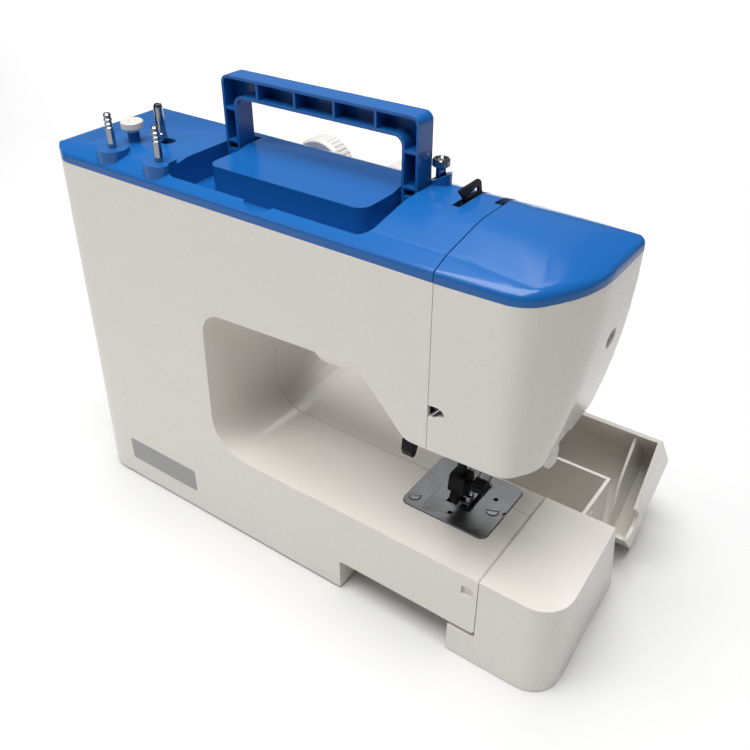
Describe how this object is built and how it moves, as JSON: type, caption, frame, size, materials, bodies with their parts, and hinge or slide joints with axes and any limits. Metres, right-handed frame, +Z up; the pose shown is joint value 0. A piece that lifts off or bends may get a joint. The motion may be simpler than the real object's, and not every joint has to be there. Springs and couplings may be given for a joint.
{
  "type": "sewing machine",
  "caption": "Domestic free-arm sewing machine with blue top, folding carry handle, extension table and open accessory cover.",
  "frame": {"origin": "centre of the overall box at the level of the table, with the handle up and the accessory cover open", "axes": "+Z up, +X towards the hand wheel along the arm, +Y to the back of the machine, the user sits on the -Y side"},
  "size_m": [0.413, 0.2022, 0.3195],
  "materials": {
    "white_casing": "glossy moulded casing",
    "white_parts": "glossy white knobs, dials and tray",
    "blue_casing": "glossy blue top covers and handle",
    "black_plastic": "satin black levers and fittings",
    "label": "plain grey sticker without lettering",
    "plate_steel": "ground steel needle plate",
    "bright_steel": "polished steel",
    "shaft_steel": "turned steel shafts and pins",
    "cast_frame": "die cast aluminium",
    "base_steel": "pressed steel plate",
    "bush_bronze": "sintered bronze bushes",
    "belt_rubber": "black belts",
    "foot_rubber": "black rubber feet",
    "clear_bobbin": "translucent plastic bobbin",
    "lamp_glass": "milky lens"
  },
  "bodies": {
    "machine_body": {"rear_cover": "white_casing", "front_cover": "white_casing", "face_cover": "white_casing", "top_cover": "blue_casing", "face_top_cover": "blue_casing", "base_plate": "base_steel", "rubber_feet": "foot_rubber", "cover_screws": "shaft_steel", "rating_label": "label", "needle_plate": "plate_steel", "plate_screws": "bright_steel", "thread_cutter": "bright_steel", "winder_stop": "white_parts", "thread_guide": "bright_steel", "pivot_pins": "shaft_steel", "arm_frame": "cast_frame", "bed_frame": "cast_frame", "shaft_bushes": "bush_bronze", "drive_belts": "belt_rubber", "bobbin_case": "shaft_steel", "hook_cover": "white_casing", "motor": "base_steel", "presser_spring": "shaft_steel", "power_inlet": "black_plastic", "lamp": "lamp_glass"},
    "handle": {"carry_handle": "blue_casing"},
    "left_spool_pin": {"spool_pin_left": "bright_steel"},
    "right_spool_pin": {"spool_pin_right": "bright_steel"},
    "winder_swing_arm": {"winder_arm": "base_steel"},
    "winder_shaft": {"winder_spindle": "bright_steel"},
    "take_up": {"take_up_lever": "black_plastic"},
    "upper_drive": {"main_shaft": "shaft_steel", "crank_disc": "cast_frame", "hand_wheel": "white_parts", "upper_pulley": "cast_frame", "drive_pulley": "black_plastic"},
    "lower_drive": {"lower_shaft": "shaft_steel", "lower_pulley": "cast_frame"},
    "hook": {"shuttle_hook": "bright_steel"},
    "bobbin_body": {"bobbin": "clear_bobbin"},
    "motor_rotor": {"motor_pulley": "shaft_steel"},
    "needle_swing_frame": {"needle_bar_frame": "cast_frame"},
    "needle_bar_body": {"needle_bar": "bright_steel", "needle_link": "cast_frame", "needle_clamp": "bright_steel", "needle": "bright_steel"},
    "presser_bar_body": {"presser_bar": "black_plastic", "foot_holder": "black_plastic", "foot_screw": "black_plastic"},
    "foot_body": {"presser_foot": "bright_steel"},
    "lifter_body": {"presser_lifter": "black_plastic"},
    "feed_body": {"feed_dog": "shaft_steel"},
    "pattern_dial_body": {"pattern_dial": "white_parts"},
    "length_dial_body": {"length_dial": "white_parts"},
    "tension_dial_body": {"tension_dial": "white_parts"},
    "reverse_body": {"reverse_lever": "white_parts"},
    "switch_body": {"power_switch": "black_plastic"},
    "threader_body": {"threader_lever": "white_parts"},
    "table_body": {"extension_table": "white_casing"},
    "cover_body": {"accessory_cover": "white_casing"}
  },
  "joints": [
    {"name": "handle_fold", "type": "hinge", "parent": "machine_body", "child": "handle", "pos_m": [0.0005, 0.03382, 0.266], "axis": [-1, 0, 0], "range_deg": [0, 90]},
    {"name": "left_spool_pin_pull", "type": "slide", "parent": "machine_body", "child": "left_spool_pin", "axis": [0, 0, 1], "range_m": [0, 0.024]},
    {"name": "right_spool_pin_pull", "type": "slide", "parent": "machine_body", "child": "right_spool_pin", "axis": [0, 0, 1], "range_m": [0, 0.024]},
    {"name": "winder_engage", "type": "hinge", "parent": "machine_body", "child": "winder_swing_arm", "pos_m": [0.1085, 0.02882, 0.264], "axis": [0, 0, -1], "range_deg": [0, 7]},
    {"name": "winder_spin", "type": "hinge", "parent": "winder_swing_arm", "child": "winder_shaft", "pos_m": [0.1165, 0.06032, 0.264], "axis": [0, 0, 1], "continuous": true},
    {"name": "upper_shaft_turn", "type": "hinge", "parent": "machine_body", "child": "upper_drive", "pos_m": [0.0505, 0.03882, 0.228], "axis": [1, 0, 0], "continuous": true},
    {"name": "lower_shaft_turn", "type": "hinge", "parent": "machine_body", "child": "lower_drive", "pos_m": [0.0505, 0.07082, 0.05], "axis": [1, 0, 0], "continuous": true},
    {"name": "hook_turn", "type": "hinge", "parent": "machine_body", "child": "hook", "pos_m": [-0.1115, 0.04082, 0.05], "axis": [0, 1, 0], "continuous": true},
    {"name": "bobbin_turn", "type": "hinge", "parent": "machine_body", "child": "bobbin_body", "pos_m": [-0.1115, 0.02682, 0.05], "axis": [0, 1, 0], "continuous": true},
    {"name": "motor_turn", "type": "hinge", "parent": "machine_body", "child": "motor_rotor", "pos_m": [0.1505, -0.00018, 0.04], "axis": [1, 0, 0], "continuous": true},
    {"name": "needle_swing", "type": "hinge", "parent": "machine_body", "child": "needle_swing_frame", "pos_m": [-0.1205, 0.03882, 0.252], "axis": [0, 1, 0], "range_deg": [-0.75, 0.75]},
    {"name": "needle_stroke", "type": "slide", "parent": "needle_swing_frame", "child": "needle_bar_body", "axis": [0, 0, -1], "range_m": [0, 0.03]},
    {"name": "take_up_swing", "type": "hinge", "parent": "machine_body", "child": "take_up", "pos_m": [-0.0945, 0.06282, 0.246], "axis": [1, 0, 0], "range_deg": [0, 48]},
    {"name": "presser_lift", "type": "slide", "parent": "machine_body", "child": "presser_bar_body", "axis": [0, 0, 1], "range_m": [0, 0.006], "deforming": ["presser_spring"]},
    {"name": "lifter_raise", "type": "hinge", "parent": "machine_body", "child": "lifter_body", "pos_m": [-0.0995, 0.07082, 0.172], "axis": [1, 0, 0], "range_deg": [0, 26]},
    {"name": "foot_tilt", "type": "hinge", "parent": "presser_bar_body", "child": "foot_body", "pos_m": [-0.1115, 0.04582, 0.0822], "axis": [1, 0, 0], "range_deg": [-6, 2.5]},
    {"name": "feed_travel", "type": "slide", "parent": "machine_body", "child": "feed_body", "axis": [0, -1, 0], "range_m": [-0.0015, 0.0015]},
    {"name": "pattern_select", "type": "hinge", "parent": "machine_body", "child": "pattern_dial_body", "pos_m": [0.0385, -0.00418, 0.2535], "axis": [0, -1, 0], "range_deg": [-150, 150]},
    {"name": "stitch_length", "type": "hinge", "parent": "machine_body", "child": "length_dial_body", "pos_m": [-0.0245, -0.00418, 0.2535], "axis": [0, -1, 0], "range_deg": [-135, 135]},
    {"name": "thread_tension", "type": "hinge", "parent": "machine_body", "child": "tension_dial_body", "pos_m": [-0.0635, 0.00882, 0.236], "axis": [1, 0, 0], "range_deg": [-120, 120]},
    {"name": "reverse_press", "type": "hinge", "parent": "machine_body", "child": "reverse_body", "pos_m": [-0.0245, 0.01282, 0.213], "axis": [1, 0, 0], "range_deg": [0, 10], "stiffness_Nm_per_rad": 0.6, "springref_deg": -6.88},
    {"name": "power_rock", "type": "hinge", "parent": "machine_body", "child": "switch_body", "pos_m": [0.1845, 0.00382, 0.08], "axis": [0, 1, 0], "range_deg": [0, 12]},
    {"name": "threader_pull", "type": "slide", "parent": "machine_body", "child": "threader_body", "axis": [0, 0, -1], "range_m": [0, 0.022], "stiffness_N_per_m": 60, "springref_m": -0.01},
    {"name": "table_slide_off", "type": "slide", "parent": "machine_body", "child": "table_body", "axis": [-1, 0, 0], "range_m": [0, 0.12]},
    {"name": "cover_close", "type": "hinge", "parent": "table_body", "child": "cover_body", "pos_m": [-0.1365, -0.04918, 0.005], "axis": [-1, 0, 0], "range_deg": [0, 50]}
  ],
  "couplings": [
    {"joint": "lower_shaft_turn", "follows": "upper_shaft_turn", "ratio": 1},
    {"joint": "hook_turn", "follows": "upper_shaft_turn", "ratio": 2},
    {"joint": "motor_turn", "follows": "upper_shaft_turn", "ratio": 4.5},
    {"joint": "take_up_swing", "follows": "needle_stroke", "rad_per_m": 27.922},
    {"joint": "presser_lift", "follows": "lifter_raise", "m_per_rad": 0.013221}
  ]
}
